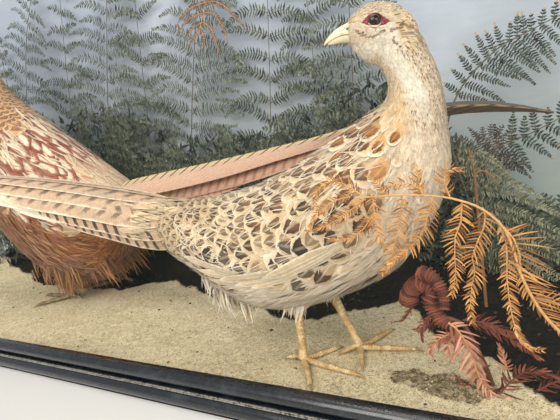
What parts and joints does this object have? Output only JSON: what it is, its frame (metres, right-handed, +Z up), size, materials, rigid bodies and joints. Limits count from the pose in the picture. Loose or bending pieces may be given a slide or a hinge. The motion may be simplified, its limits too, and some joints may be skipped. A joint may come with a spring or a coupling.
{
  "type": "taxidermy pheasant",
  "caption": "Glazed, black-framed table case with a mounted hen pheasant standing on sand, head turned back, with a cock pheasant and dried bracken behind.",
  "frame": {"origin": "middle of the case's underside", "axes": "+Z up, the glazed front faces -Y, +X is the right-hand end seen from the front"},
  "size_m": [1.003, 0.3306, 0.52],
  "materials": {
    "hen_plumage": "matte",
    "cock_plumage": "matte",
    "horn": "satin",
    "leg_scales": "satin",
    "glass_eye": "glossy",
    "dry_bracken": "matte",
    "dark_bracken": "matte",
    "sand": "rough",
    "ebonised_wood": "satin",
    "pine": "matte",
    "painted_board": "matte",
    "case_glass": "glossy"
  },
  "bodies": {
    "root": {"case_backboard": "painted_board", "case_base": "pine", "case_bottom_rail_front": "ebonised_wood", "case_bottom_rail_left": "ebonised_wood", "case_bottom_rail_right": "ebonised_wood", "case_glass_front": "case_glass", "case_glass_left": "case_glass", "case_glass_right": "case_glass", "case_glass_top": "case_glass", "case_post_back_left": "ebonised_wood", "case_post_back_right": "ebonised_wood", "case_post_front_left": "ebonised_wood", "case_post_front_right": "ebonised_wood", "case_top_rail_front": "ebonised_wood", "case_top_rail_left": "ebonised_wood", "case_top_rail_right": "ebonised_wood", "cock_pheasant": "cock_plumage", "fern_behind_hen": "dark_bracken", "fern_curled": "dry_bracken", "fern_far_left": "dark_bracken", "fern_front": "dry_bracken", "fern_left": "dark_bracken", "fern_middle": "dark_bracken", "fern_right_high": "dark_bracken", "fern_right_low": "dark_bracken", "groundwork": "sand", "hen_bill": "horn", "hen_eye_left": "glass_eye", "hen_eye_right": "glass_eye", "hen_head": "hen_plumage", "hen_leg_left": "leg_scales", "hen_leg_right": "leg_scales", "hen_neck": "hen_plumage", "hen_tail": "hen_plumage", "hen_thigh_left": "hen_plumage", "hen_thigh_right": "hen_plumage", "hen_trunk": "hen_plumage", "hen_wing_left": "hen_plumage", "hen_wing_right": "hen_plumage"}
  },
  "joints": []
}
